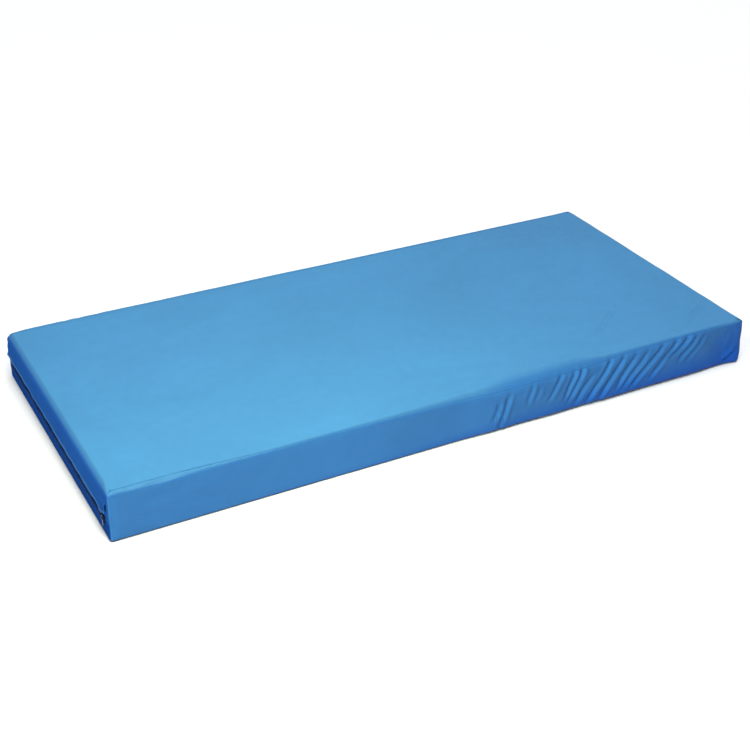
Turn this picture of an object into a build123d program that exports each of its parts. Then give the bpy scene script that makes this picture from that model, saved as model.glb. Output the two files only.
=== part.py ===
"""Hospital foam mattress for pressure relief, in a zipped cover of coated fabric.

Units are millimetres and +Z is up. The origin is the centre of the underside.
+X runs along the mattress to its head end. The cover opens at the foot end, which
faces -X: a zip runs across that end, low down, and a hanging flap hoods it from above.
"""
from build123d import *
import os
from math import cos, radians, sin

# ---------------------------------------------------------------- driving dimensions
LENGTH = 1950.0
WIDTH = 880.0
HEIGHT = 140.0

# Cover
FABRIC = 0.8
CORNER_RADIUS = 20.0
TOP_EDGE_RADIUS = 18.0
BOTTOM_EDGE_RADIUS = 10.0
LONG_SEAM_INSET = 16.0      # the seam along each long side lies this far in on the top roll
BASE_SEAM_Z = 6.0           # the base panel turns up to this height all round

# Zip across the foot end
ZIP_Z = 50.0
SLOT_HALF_LENGTH = 414.0
SLOT_HALF_HEIGHT = 10.0
TAPE_THICKNESS = 0.7
TAPE_WIDTH = 16.6
TAPE_HALF_LENGTH = 419.0
TAPE_INNER_EDGE = 0.4       # half the gap between the two tapes
TEETH_INNER_EDGE = 0.5      # half the gap between the two rows, for the slider's post
TEETH_WIDTH = 2.9
TEETH_DEPTH = 2.2
TEETH_EDGE_RADIUS = 0.6
TEETH_END_Y = (-406.0, 410.0)
STOP_LENGTH = (4.0, 3.0)    # top stops at the closed end, bottom stop at the other
STOP_PROUD = 0.3

# Slider and puller
SLIDER_LENGTH = 15.0
SLIDER_NOSE_WIDTH = 10.8
SLIDER_TAIL_WIDTH = 9.4
SLIDER_GAP = 0.5            # from the nose to the top stops
SLIDER_FRONT = 1.2
SLIDER_BACK = 1.2
FRONT_CLEARANCE = 0.4       # between the teeth and the slider's front plate
BACK_CLEARANCE = 0.4        # between the tape and the slider's back plate
FLANGE_INNER = 3.9
POST_LENGTH = 3.0
POST_THICKNESS = 0.4
POST_SET_BACK = 1.0         # from the nose
SLIDER_CORNER_RADIUS = 1.5
SLIDER_EDGE_RADIUS = 0.4
BRIDGE_FOOT = (2.0, 2.2)
BRIDGE_HALF_SPAN = 4.2
PULLER_THICKNESS = 1.2
PULLER_CLEARANCE = 0.4
PULLER_EYE_RADIUS = 2.5
PULLER_RING_RADIUS = 4.1
PULLER_WIDTH = 7.0
PULLER_LENGTH = 21.5        # from the eye's centre to the tip
PULLER_TIP_RADIUS = 2.2
PULLER_BEVEL = 0.2
GRIP_SLOT = (3.6, 2.0)
GRIP_FROM_TIP = 5.0
STRAP_THICKNESS = 0.9
STRAP_EDGE_RADIUS = 0.6

# Flap that hoods the zip from above
FLAP_HINGE_Z = 114.0
FLAP_HALF_LENGTH = 428.0
FLAP_THICKNESS = 1.2
FLAP_DROP = 46.0
FLAP_FLARE_DEG = 5.0
FLAP_STAND_OFF = 0.9        # from the end wall to the flap's back at the hinge line
BINDING_WIDTH = 8.0
BINDING_THICKNESS = 2.4
BINDING_EDGE_RADIUS = 0.9
FLAP_STRIP_HALF_LENGTH = 420.0
FLAP_STRIP_THICKNESS = 1.2
FLAP_STRIP_GAP = 0.6

# Foam core
CORE_GAP = 0.5              # to the inside of the cover
CORE_END_GAP = 0.7          # to the slider's back plate
RAIL_WIDTH = 75.0
BASE_LAYER_TOP = 70.0
HEAD_ZONE_LENGTH = 600.0
HEEL_ZONE_LENGTH = 600.0
GROOVE_WIDTH = 4.0
GROOVE_DEPTH = 47.0
HEAD_CELLS = (6, 8)         # cells along and across
TORSO_CELLS = (9, 10)
HEEL_CELLS = (8, 8)
PROFILE_CUT_X = (145.0, -315.0)     # under the bed's hip hinge and its knee hinge
PROFILE_CUT_PITCH = 60.0
PROFILE_CUT_WIDTH = 4.0
PROFILE_CUT_DEPTH = 25.0

# ---------------------------------------------------------------- worked-out places
END_X = -LENGTH / 2                     # outer face of the foot end
WALL_INNER_X = END_X + FABRIC
TAPE_BACK_X = WALL_INNER_X + TAPE_THICKNESS
TEETH_FRONT_X = WALL_INNER_X - TEETH_DEPTH
FRONT_PLATE_BACK_X = TEETH_FRONT_X - FRONT_CLEARANCE
FRONT_PLATE_X = FRONT_PLATE_BACK_X - SLIDER_FRONT
BACK_PLATE_FRONT_X = TAPE_BACK_X + BACK_CLEARANCE
BACK_PLATE_X = BACK_PLATE_FRONT_X + SLIDER_BACK
PULLER_BACK_X = FRONT_PLATE_X - PULLER_CLEARANCE
PULLER_FRONT_X = PULLER_BACK_X - PULLER_THICKNESS
STRAP_BACK_X = PULLER_FRONT_X - PULLER_CLEARANCE
STRAP_FRONT_X = STRAP_BACK_X - STRAP_THICKNESS
SLIDER_Y = TEETH_END_Y[0] + SLIDER_GAP + SLIDER_LENGTH / 2
PULLER_Y = SLIDER_Y - BRIDGE_HALF_SPAN
FLAP_HINGE_X = END_X - FLAP_STAND_OFF - FLAP_THICKNESS
CORE_FOOT_X = BACK_PLATE_X + CORE_END_GAP
CORE_HEAD_X = LENGTH / 2 - FABRIC - CORE_GAP
CORE_HALF_WIDTH = WIDTH / 2 - FABRIC - CORE_GAP
CORE_TOP = HEIGHT - FABRIC - CORE_GAP
CORE_BOTTOM = FABRIC + CORE_GAP
CORE_INSET = FABRIC + CORE_GAP
RAIL_INNER_Y = CORE_HALF_WIDTH - RAIL_WIDTH
CLEAR = 20.0                            # how far a cutting block runs past the part


# ---------------------------------------------------------------- helpers
def block(x, y, z):
    """A box from its low and high limits along each axis."""
    size = Box(x[1] - x[0], y[1] - y[0], z[1] - z[0])
    return Pos((x[0] + x[1]) / 2, (y[0] + y[1]) / 2, (z[0] + z[1]) / 2) * size


def rounded_block(x, half_width, z, corner_radius, top_radius, bottom_radius):
    """A box with rounded upright corners, then rounded top and bottom edges."""
    body = block(x, (-half_width, half_width), z)
    body = fillet(body.edges().filter_by(Axis.Z), corner_radius)
    body = fillet(body.edges().group_by(Axis.Z)[-1], top_radius)
    return fillet(body.edges().group_by(Axis.Z)[0], bottom_radius)


def facing_plate(outline, x_low, x_high):
    """An outline drawn in (y, z), made solid between two places along X."""
    return extrude(Plane.YZ.offset(x_low) * outline, amount=x_high - x_low)


def end_profile(points, half_length):
    """A section drawn in (x, z), made solid across the width."""
    outline = Plane.XZ * make_face(Polyline(*points, close=True))
    return Pos(0, half_length, 0) * extrude(outline, amount=2 * half_length)


# ---------------------------------------------------------------- cover
def cover_shell():
    outer = rounded_block(
        (-LENGTH / 2, LENGTH / 2), WIDTH / 2, (0, HEIGHT),
        CORNER_RADIUS, TOP_EDGE_RADIUS, BOTTOM_EDGE_RADIUS,
    )
    inner = rounded_block(
        (-LENGTH / 2 + FABRIC, LENGTH / 2 - FABRIC), WIDTH / 2 - FABRIC,
        (FABRIC, HEIGHT - FABRIC),
        CORNER_RADIUS - FABRIC, TOP_EDGE_RADIUS - FABRIC, BOTTOM_EDGE_RADIUS - FABRIC,
    )
    return outer - inner


def side_region(side):
    """The space that one long border fills: mitred at the corners, seamed on the top."""
    outline = Polyline(
        (-LENGTH / 2 - CLEAR, side * (WIDTH / 2 + CLEAR)),
        (LENGTH / 2 + CLEAR, side * (WIDTH / 2 + CLEAR)),
        (LENGTH / 2 - LONG_SEAM_INSET, side * (WIDTH / 2 - LONG_SEAM_INSET)),
        (-LENGTH / 2 + LONG_SEAM_INSET, side * (WIDTH / 2 - LONG_SEAM_INSET)),
        close=True,
    )
    return extrude(Pos(0, 0, BASE_SEAM_Z) * make_face(outline), amount=HEIGHT)


def cover_panels():
    """Every panel of the cover, cut from one shell so that the seams meet."""
    shell = cover_shell()
    whole_x = (-LENGTH / 2 - CLEAR, LENGTH / 2 + CLEAR)
    whole_y = (-WIDTH / 2 - CLEAR, WIDTH / 2 + CLEAR)
    foot_x = (END_X - CLEAR, END_X + CORNER_RADIUS)
    near, far = side_region(-1), side_region(1)
    slot = block(
        foot_x, (-SLOT_HALF_LENGTH, SLOT_HALF_LENGTH),
        (ZIP_Z - SLOT_HALF_HEIGHT, ZIP_Z + SLOT_HALF_HEIGHT),
    )
    upper = shell & block(whole_x, whole_y, (BASE_SEAM_Z, HEIGHT + CLEAR))
    below_zip = block(foot_x, whole_y, (BASE_SEAM_Z, ZIP_Z))
    between_sides = upper - near - far - slot
    return {
        "base_panel": shell & block(whole_x, whole_y, (-CLEAR, BASE_SEAM_Z)),
        "side_border_near": upper & near,
        "side_border_far": upper & far,
        "zip_end_lower_border": between_sides & below_zip,
        "top_panel": between_sides - below_zip,
    }


# ---------------------------------------------------------------- zip
def zip_tape(side):
    low = ZIP_Z + side * TAPE_INNER_EDGE
    high = low + side * TAPE_WIDTH
    return block(
        (WALL_INNER_X, TAPE_BACK_X), (-TAPE_HALF_LENGTH, TAPE_HALF_LENGTH),
        (min(low, high), max(low, high)),
    )


def zip_teeth(side):
    low = ZIP_Z + side * TEETH_INNER_EDGE
    high = low + side * TEETH_WIDTH
    row = block((TEETH_FRONT_X, WALL_INNER_X), TEETH_END_Y, (min(low, high), max(low, high)))
    front_edges = row.edges().filter_by(Axis.Y).group_by(Axis.X)[0]
    return fillet(front_edges, TEETH_EDGE_RADIUS)


def zip_stops():
    """Two small top stops beside each other, and one bottom stop across both rows."""
    front = TEETH_FRONT_X - STOP_PROUD
    outer = TEETH_INNER_EDGE + TEETH_WIDTH + STOP_PROUD
    top_y = (TEETH_END_Y[0] - STOP_LENGTH[0], TEETH_END_Y[0])
    bottom_y = (TEETH_END_Y[1], TEETH_END_Y[1] + STOP_LENGTH[1])
    pair = [
        block((front, WALL_INNER_X), top_y, (ZIP_Z + TEETH_INNER_EDGE, ZIP_Z + outer)),
        block((front, WALL_INNER_X), top_y, (ZIP_Z - outer, ZIP_Z - TEETH_INNER_EDGE)),
    ]
    single = block((front, WALL_INNER_X), bottom_y, (ZIP_Z - outer, ZIP_Z + outer))
    return Compound(children=pair), single


def slider_outline():
    """Seen from the front: wide at the nose, which leads when the zip closes."""
    nose, tail = -SLIDER_LENGTH / 2, SLIDER_LENGTH / 2
    face = make_face(Polyline(
        (nose, -SLIDER_NOSE_WIDTH / 2), (0, -SLIDER_NOSE_WIDTH / 2), (tail, -SLIDER_TAIL_WIDTH / 2),
        (tail, SLIDER_TAIL_WIDTH / 2), (0, SLIDER_NOSE_WIDTH / 2), (nose, SLIDER_NOSE_WIDTH / 2),
        close=True,
    ))
    return Pos(SLIDER_Y, ZIP_Z) * fillet(face.vertices(), SLIDER_CORNER_RADIUS)


def slider_body():
    outline = slider_outline()
    front = facing_plate(outline, FRONT_PLATE_X, FRONT_PLATE_BACK_X)
    front = fillet(front.faces().sort_by(Axis.X)[0].edges(), SLIDER_EDGE_RADIUS)
    back = facing_plate(outline, BACK_PLATE_FRONT_X, BACK_PLATE_X)
    back = fillet(back.faces().sort_by(Axis.X)[-1].edges(), SLIDER_EDGE_RADIUS)
    flange_end = WALL_INNER_X - FRONT_CLEARANCE
    channel = block(
        (FRONT_PLATE_BACK_X, flange_end),
        (SLIDER_Y - SLIDER_LENGTH, SLIDER_Y + SLIDER_LENGTH),
        (ZIP_Z - FLANGE_INNER, ZIP_Z + FLANGE_INNER),
    )
    flanges = facing_plate(outline, FRONT_PLATE_BACK_X, flange_end) - channel
    post_start = SLIDER_Y - SLIDER_LENGTH / 2 + POST_SET_BACK
    post = block(
        (FRONT_PLATE_BACK_X, BACK_PLATE_FRONT_X), (post_start, post_start + POST_LENGTH),
        (ZIP_Z - POST_THICKNESS / 2, ZIP_Z + POST_THICKNESS / 2),
    )
    return front + flanges + post + back


def slider_bridge():
    """The small arch on the slider that holds the puller's eye."""
    foot_y, foot_z = BRIDGE_FOOT
    low_z = (ZIP_Z - foot_z / 2, ZIP_Z + foot_z / 2)
    ends = (SLIDER_Y - BRIDGE_HALF_SPAN, SLIDER_Y + BRIDGE_HALF_SPAN)
    feet = [
        block((STRAP_BACK_X, FRONT_PLATE_X), (y - foot_y / 2, y + foot_y / 2), low_z)
        for y in ends
    ]
    strap = block(
        (STRAP_FRONT_X, STRAP_BACK_X), (ends[0] - foot_y / 2, ends[1] + foot_y / 2), low_z
    )
    arch = feet[0] + feet[1] + strap
    return fillet(arch.edges().filter_by(Axis.Z).group_by(Axis.X)[0], STRAP_EDGE_RADIUS)


def zip_puller():
    """A flat tab that hangs from the bridge by its eye."""
    eye = Circle(PULLER_RING_RADIUS)
    tab = Pos(0, -(PULLER_RING_RADIUS + PULLER_LENGTH) / 2) * RectangleRounded(
        PULLER_WIDTH, PULLER_LENGTH - PULLER_RING_RADIUS, PULLER_TIP_RADIUS
    )
    neck = Pos(0, -PULLER_RING_RADIUS) * Rectangle(2 * PULLER_EYE_RADIUS, 2 * PULLER_TIP_RADIUS)
    grip = Pos(0, -PULLER_LENGTH + GRIP_FROM_TIP) * SlotOverall(*GRIP_SLOT)
    outline = eye + neck + tab - Circle(PULLER_EYE_RADIUS) - grip
    tab = facing_plate(Pos(PULLER_Y, ZIP_Z) * outline, PULLER_FRONT_X, PULLER_BACK_X)
    return chamfer(tab.faces().sort_by(Axis.X)[0].edges(), PULLER_BEVEL)


# ---------------------------------------------------------------- flap
def flap_point(along, outward):
    """A place on the flap's section: down its length from the hinge, and out from its face."""
    flare = radians(FLAP_FLARE_DEG)
    return (
        FLAP_HINGE_X - along * sin(flare) - outward * cos(flare),
        FLAP_HINGE_Z - along * cos(flare) + outward * sin(flare),
    )


def flap_strip(start, end, inside, outside):
    corners = [
        flap_point(start, outside), flap_point(end, outside),
        flap_point(end, inside), flap_point(start, inside),
    ]
    return end_profile(corners, FLAP_HALF_LENGTH)


def zip_flap():
    return flap_strip(0, FLAP_DROP - BINDING_WIDTH, -FLAP_THICKNESS, 0)


def flap_edge_binding():
    """The doubled and stitched lower edge of the flap."""
    spare = (BINDING_THICKNESS - FLAP_THICKNESS) / 2
    hem = flap_strip(FLAP_DROP - BINDING_WIDTH, FLAP_DROP, -FLAP_THICKNESS - spare, spare)
    lowest = hem.edges().filter_by(Axis.Y).group_by(Axis.Z)[:2]
    return fillet([edge for group in lowest for edge in group], BINDING_EDGE_RADIUS)


def flap_seam_strip():
    """The flap's stitched top margin, fixed to the end wall."""
    low = FLAP_HINGE_Z + FLAP_STRIP_GAP
    return block(
        (END_X - FLAP_STRIP_THICKNESS, END_X),
        (-FLAP_STRIP_HALF_LENGTH, FLAP_STRIP_HALF_LENGTH),
        (low, HEIGHT - TOP_EDGE_RADIUS),
    )


# ---------------------------------------------------------------- foam core
def core_envelope():
    return rounded_block(
        (CORE_FOOT_X, CORE_HEAD_X), CORE_HALF_WIDTH, (CORE_BOTTOM, CORE_TOP),
        CORNER_RADIUS - CORE_INSET, TOP_EDGE_RADIUS - CORE_INSET, BOTTOM_EDGE_RADIUS - CORE_INSET,
    )


def core_rail(envelope, side):
    y = sorted((side * RAIL_INNER_Y, side * (CORE_HALF_WIDTH + CLEAR)))
    return envelope & block((-LENGTH, LENGTH), y, (-CLEAR, HEIGHT + CLEAR))


def core_base_layer(envelope):
    layer = envelope & block(
        (-LENGTH, LENGTH), (-RAIL_INNER_Y, RAIL_INNER_Y), (-CLEAR, BASE_LAYER_TOP)
    )
    for hinge_x in PROFILE_CUT_X:
        for step in (-1, 0, 1):
            x = hinge_x + step * PROFILE_CUT_PITCH
            layer -= block(
                (x - PROFILE_CUT_WIDTH / 2, x + PROFILE_CUT_WIDTH / 2),
                (-WIDTH, WIDTH), (-CLEAR, CORE_BOTTOM + PROFILE_CUT_DEPTH),
            )
    return layer


def core_zone(envelope, x, cells):
    """A zone of the top foam, cut into a grid of separate cells on a thin base."""
    zone = envelope & block(x, (-RAIL_INNER_Y, RAIL_INNER_Y), (BASE_LAYER_TOP, HEIGHT + CLEAR))
    floor = CORE_TOP - GROOVE_DEPTH
    x_low, x_high = max(x[0], CORE_FOOT_X), min(x[1], CORE_HEAD_X)
    for i in range(1, cells[0]):
        middle = x_low + (x_high - x_low) * i / cells[0]
        zone -= block(
            (middle - GROOVE_WIDTH / 2, middle + GROOVE_WIDTH / 2),
            (-WIDTH, WIDTH), (floor, HEIGHT + CLEAR),
        )
    for i in range(1, cells[1]):
        middle = -RAIL_INNER_Y + 2 * RAIL_INNER_Y * i / cells[1]
        zone -= block(
            (-LENGTH, LENGTH), (middle - GROOVE_WIDTH / 2, middle + GROOVE_WIDTH / 2),
            (floor, HEIGHT + CLEAR),
        )
    return zone


def core_parts():
    envelope = core_envelope()
    heel_end = CORE_FOOT_X + HEEL_ZONE_LENGTH
    head_start = CORE_HEAD_X - HEAD_ZONE_LENGTH
    return {
        "core_rail_near": core_rail(envelope, -1),
        "core_rail_far": core_rail(envelope, 1),
        "core_base_layer": core_base_layer(envelope),
        "core_heel_zone": core_zone(envelope, (-LENGTH, heel_end), HEEL_CELLS),
        "core_torso_zone": core_zone(envelope, (heel_end, head_start), TORSO_CELLS),
        "core_head_zone": core_zone(envelope, (head_start, LENGTH), HEAD_CELLS),
    }


# ---------------------------------------------------------------- all nodes
def all_nodes():
    top_stops, bottom_stop = zip_stops()
    nodes = {
        "zip_tape_upper": zip_tape(1),
        "zip_tape_lower": zip_tape(-1),
        "zip_teeth_upper": zip_teeth(1),
        "zip_teeth_lower": zip_teeth(-1),
        "zip_top_stops": top_stops,
        "zip_bottom_stop": bottom_stop,
        "zip_slider": slider_body(),
        "slider_bridge": slider_bridge(),
        "zip_puller": zip_puller(),
        "zip_flap": zip_flap(),
        "flap_edge_binding": flap_edge_binding(),
        "flap_seam_strip": flap_seam_strip(),
    }
    nodes.update(cover_panels())
    nodes.update(core_parts())
    return nodes


os.makedirs("parts", exist_ok=True)
for name, solid in all_nodes().items():
    export_step(solid, f"parts/{name}.step")
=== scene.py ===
"""Foam hospital mattress in a zipped cover of coated fabric: the looks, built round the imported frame.

Metres throughout. +X runs to the head end, the zip and its flap are across the foot end at -X,
and the near long side is at -Y.
"""
import math

import bmesh
import bpy
import numpy as np
from mathutils import Matrix, Vector


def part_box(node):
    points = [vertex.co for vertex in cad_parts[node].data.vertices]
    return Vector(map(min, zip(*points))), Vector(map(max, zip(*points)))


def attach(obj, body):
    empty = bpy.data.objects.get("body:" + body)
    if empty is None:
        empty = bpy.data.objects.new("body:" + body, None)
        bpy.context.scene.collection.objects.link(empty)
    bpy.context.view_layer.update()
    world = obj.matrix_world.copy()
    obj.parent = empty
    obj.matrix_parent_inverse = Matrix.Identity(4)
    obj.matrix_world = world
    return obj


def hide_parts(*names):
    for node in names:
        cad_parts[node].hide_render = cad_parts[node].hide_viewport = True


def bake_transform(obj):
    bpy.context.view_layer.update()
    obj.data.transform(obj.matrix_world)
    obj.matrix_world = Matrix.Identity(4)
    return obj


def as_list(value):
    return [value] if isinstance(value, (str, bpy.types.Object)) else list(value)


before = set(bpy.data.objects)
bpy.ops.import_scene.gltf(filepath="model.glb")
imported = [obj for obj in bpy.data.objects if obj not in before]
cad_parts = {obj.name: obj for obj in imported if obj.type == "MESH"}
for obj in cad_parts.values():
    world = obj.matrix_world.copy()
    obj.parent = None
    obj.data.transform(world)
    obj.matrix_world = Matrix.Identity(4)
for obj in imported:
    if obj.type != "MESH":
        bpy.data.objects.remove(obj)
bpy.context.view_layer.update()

MM = 0.001


# ---------------- sizes from the frame
TOP_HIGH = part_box("top_panel")[1]
NEAR_LOW, NEAR_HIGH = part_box("side_border_near")
LOWER_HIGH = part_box("zip_end_lower_border")[1]
TEETH_LOW, TEETH_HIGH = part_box("zip_teeth_upper")
STRIP_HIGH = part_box("flap_seam_strip")[1]
FLAP_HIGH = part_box("zip_flap")[1]

HALF_LENGTH = TOP_HIGH.x
HALF_WIDTH = -NEAR_LOW.y
HEIGHT = TOP_HIGH.z
BASE_SEAM_Z = NEAR_LOW.z
SEAM_INSET = HALF_WIDTH + NEAR_HIGH.y
ZIP_Z = LOWER_HIGH.z
SLOT_HALF_HEIGHT = 10 * MM
SLOT_TOP = ZIP_Z + SLOT_HALF_HEIGHT
SLOT_BOTTOM = ZIP_Z - SLOT_HALF_HEIGHT
SLOT_HALF_LENGTH = TEETH_HIGH.y + 4 * MM

# Cover surface
FABRIC = 0.8 * MM
RING_START = 45 * MM           # the rolled rim starts this far in from the sides
BASE_RIM = 30 * MM
NEAR_CORNER_RADIUS = 7 * MM
FAR_CORNER_RADIUS = 16 * MM
BOTTOM_RADIUS = 7 * MM
CROWN = 1.8 * MM
SLACK = 3.0 * MM
FOLD_SLACK = 5.5 * MM          # further out again where the near side is folded
EAR = 8 * MM                   # spare fabric at the foot of the near corner of the head end
PUCKER_PITCH = 29 * MM
REST_GAP = FABRIC + 0.4 * MM   # from the foam to the outside of fabric that rests on it

# Cloth simulation of the near side
SPARE_FABRIC = 0.025           # how much too big the fabric is where it is loose
SEAM_ROWS = 4                  # rows of the mesh at the seam that stay where they are
SETTLE_FRAMES = 30
SETTLE_LIMIT = 4 * MM          # no point moves further than this

# The whole foam core, and its rounding inside the cover's own
CORE_NODES = [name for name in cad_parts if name.startswith("core_")]
FOAM_LOW = np.min([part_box(name)[0] for name in CORE_NODES], axis=0)
FOAM_HIGH = np.max([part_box(name)[1] for name in CORE_NODES], axis=0)
FOAM_TOP_RADIUS = 16.7 * MM
FOAM_BASE_RADIUS = 8.7 * MM
FOAM_CORNER_RADIUS = 18.7 * MM


# ---------------- small maths helpers
def smooth(low, high, value):
    """0 below low, 1 above high, and a smooth step between them."""
    t = np.clip((value - low) / (high - low), 0, 1)
    return t * t * (3 - 2 * t)


def bump(value, centre, width):
    return np.exp(-(((value - centre) / width) ** 2))


def ripple(u, v, seed):
    """A smooth random surface: a fixed sum of waves in all directions, about -1 to 1."""
    count = 7
    rng = np.random.default_rng(seed)
    total = np.zeros(np.broadcast(u, v).shape)
    for _ in range(count):
        rate = rng.uniform(2.0, 9.0)
        turn = rng.uniform(0, math.pi)
        phase = rng.uniform(0, 2 * math.pi)
        total += np.sin(rate * (u * math.cos(turn) + v * math.sin(turn)) + phase)
    return total / math.sqrt(count)


def graded(low, high, pitch_at):
    """Places from low to high whose spacing follows pitch_at, evened out to end exactly."""
    places = [low]
    while places[-1] < high:
        places.append(places[-1] + pitch_at(places[-1]))
    places = np.array(places)
    return low + (places - low) * (high - low) / (places[-1] - low)


def in_fours(places):
    """The same run in a multiple of four steps, so that the base's coarse grid meets its rim."""
    count = 4 * round(len(places) / 4)
    return np.interp(np.linspace(0, 1, count + 1), np.linspace(0, 1, len(places)), places)


def snapped(places, target):
    """Moves the place nearest to target onto it."""
    places[np.argmin(abs(places - target))] = target
    return places


# ---------------- materials
class Nodes:
    """Short names for building one node tree."""

    def __init__(self, name):
        self.material = bpy.data.materials.new(name)
        self.material.use_nodes = True
        self.tree = self.material.node_tree
        self.shader = self.tree.nodes["Principled BSDF"]

    def add(self, kind, **values):
        node = self.tree.nodes.new(kind)
        for key, value in values.items():
            if hasattr(node, key):
                setattr(node, key, value)
            else:
                node.inputs[key.replace("_", " ")].default_value = value
        return node

    def link(self, source, target):
        self.tree.links.new(source, target)

    def feed(self, socket, value):
        """Links another node's output to the socket, or sets the socket to a number or colour."""
        if hasattr(value, "links"):
            self.link(value, socket)
        elif isinstance(value, tuple):
            socket.default_value = (*value, 1.0)
        else:
            socket.default_value = value

    def math(self, operation, a, b=0.0):
        node = self.tree.nodes.new("ShaderNodeMath")
        node.operation = operation
        for socket, value in zip(node.inputs, (a, b)):
            self.feed(socket, value)
        return node.outputs[0]

    def mix(self, factor, a, b, blend="MIX"):
        node = self.tree.nodes.new("ShaderNodeMix")
        node.data_type = "RGBA"
        node.blend_type = blend
        for socket, value in zip((node.inputs[0], node.inputs[6], node.inputs[7]), (factor, a, b)):
            self.feed(socket, value)
        return node.outputs[2]

    def shaded(self, colour, shade):
        """The colour, darkened or lightened by a number near 1."""
        grey = self.add("ShaderNodeCombineColor")
        for socket in grey.inputs:
            self.link(shade, socket)
        return self.mix(1.0, colour, grey.outputs[0], "MULTIPLY")

    def place(self):
        return self.add("ShaderNodeTexCoord").outputs["Object"]

    def split(self, vector):
        """The X, Y and Z of a vector, by name."""
        node = self.add("ShaderNodeSeparateXYZ")
        self.link(vector, node.inputs[0])
        return node.outputs

    def noise(self, scale, detail=2.0, roughness=0.5, vector=None):
        node = self.add("ShaderNodeTexNoise", Scale=scale, Detail=detail, Roughness=roughness)
        self.link(vector or self.place(), node.inputs["Vector"])
        return node.outputs["Fac"]

    def stretch(self, low, high, value, out_low=0.0, out_high=1.0):
        node = self.add("ShaderNodeMapRange", From_Min=low, From_Max=high, To_Min=out_low, To_Max=out_high)
        self.link(value, node.inputs["Value"])
        return node.outputs[0]

    def cloud(self, low, high, *noise):
        """Soft mottling between low and high."""
        return self.stretch(0.3, 0.7, self.noise(*noise), low, high)

    def bump(self, height, distance, strength=1.0, under=None):
        node = self.add("ShaderNodeBump", Strength=strength, Distance=distance)
        self.link(height, node.inputs["Height"])
        if under is not None:
            self.link(under, node.inputs["Normal"])
        return node.outputs["Normal"]

    def made(self, **inputs):
        """The material, with its shader's inputs fed from the outputs or plain values given."""
        for key, value in inputs.items():
            self.feed(self.shader.inputs[key.replace("_", " ")], value)
        return self.material


def coated_knit(name, up_colour, shaded_side_colour, gloss_up, gloss_side, roughness=0.46,
                low_shade_colour=None, shaded_end_colour=None, painted_fold_shade=0.0):
    """Polyurethane-coated knit: satin film over a fine knit, slightly uneven in tone.

    The tone follows the way the surface faces: up, to a side, or to the foot end; the darker side and
    foot-end tones are painted shade, and slopes and folds get painted light and shade too.
    """
    n = Nodes(name)
    facing = n.split(n.add("ShaderNodeNewGeometry").outputs["Normal"])
    # Share of the top's tone by how far the face turns up; the side tone it gives way to is painted shade
    upward = n.math("MULTIPLY", n.stretch(0.52, 0.99, facing["Z"]), painted_rim_shade(n))
    side = shaded_side_colour
    # Painted shade: the sides darken towards their foot and towards the head end
    if low_shade_colour:
        side = n.mix(painted_low_shade(n), side, low_shade_colour)
    # Painted shade: faces turned to the foot end get a darker tone still
    if shaded_end_colour:
        side = n.mix(n.stretch(-0.25, -0.75, facing["X"]), side, shaded_end_colour)
    # Painted shade: the top is darker where it slopes, as on the sides of its ridges
    slope_shade_colour = tuple(0.82 * part for part in up_colour)
    up = n.mix(n.stretch(0.94, 0.995, facing["Z"]), slope_shade_colour, up_colour)
    tone = n.mix(upward, side, up)
    shade = n.math("MULTIPLY", n.cloud(0.955, 1.045, 2.2), n.cloud(0.975, 1.025, 38.0, 3.0))
    # Painted light and shade on the folds: faces turned to the foot end lighter, to the head end darker
    if painted_fold_shade:
        turned = n.stretch(0.6, -0.6, facing["X"], 1 - painted_fold_shade, 1 + painted_fold_shade)
        shade = n.math("MULTIPLY", shade, turned)
    normal = n.bump(n.noise(75.0, 4.0, 0.55), 0.5 * MM, 0.35)
    normal = n.bump(n.noise(420.0, 3.0, 0.6), 0.08 * MM, 0.5, normal)
    return n.made(
        Base_Color=n.shaded(tone, shade),
        Roughness=n.stretch(0.25, 0.75, n.noise(14.0, 3.0), roughness - 0.05, roughness + 0.06),
        Specular_IOR_Level=n.stretch(0.0, 1.0, upward, gloss_side, gloss_up),
        Normal=n.bump(knit_height(n, 1.15 * MM), 0.06 * MM, 0.8, normal),
    )


def painted_rim_shade(n):
    """1 on most of the cover, falling along the slack part of the near top edge: painted shade there, where
    the tone of the top gives way to the side's darker one before the fabric has rolled over."""
    at = n.split(n.place())
    width = n.stretch(0.38, 0.48, at["X"], 42 * MM, 12 * MM)
    inset = n.math("DIVIDE", n.math("ADD", at["Y"], HALF_WIDTH), width)
    slack = n.math("MULTIPLY", n.stretch(0.06, 0.15, at["X"], 0.0, 0.9),
                   n.stretch(0.93, 0.86, at["X"]))
    outside = n.math("SUBTRACT", 1.0, n.stretch(0.0, 1.0, inset))
    return n.math("SUBTRACT", 1.0, n.math("MULTIPLY", slack, outside))


def painted_low_shade(n):
    """The share of the sides' painted shade: 0 high on the sides, rising towards their foot, further up and
    more strongly to the head end.
    """
    at = n.split(n.place())
    reach = n.stretch(-0.3, 0.8, at["X"], 22 * MM, 80 * MM)
    corner = n.stretch(0.84, 0.96, at["X"], 0.0, 130 * MM)
    share = n.math("DIVIDE", at["Z"], n.math("ADD", reach, corner))
    return n.math("MULTIPLY", n.stretch(1.0, 0.1, share), n.stretch(-0.7, 0.6, at["X"]))


def knit_height(n, pitch):
    """The relief of fine knit columns and rows, on every face of the object alike."""
    at = n.split(n.place())
    rate = 2 * math.pi / pitch
    waves = [
        n.math("SINE", n.math("MULTIPLY", at[axis], rate * factor))
        for axis, factor in (("X", 1.0), ("Y", 0.74), ("Z", 0.87))
    ]
    pair = n.math("MULTIPLY", waves[0], waves[1])
    other = n.math("MULTIPLY", waves[0], waves[2])
    third = n.math("MULTIPLY", waves[1], waves[2])
    return n.math("ADD", n.math("ADD", pair, other), third)


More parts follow.
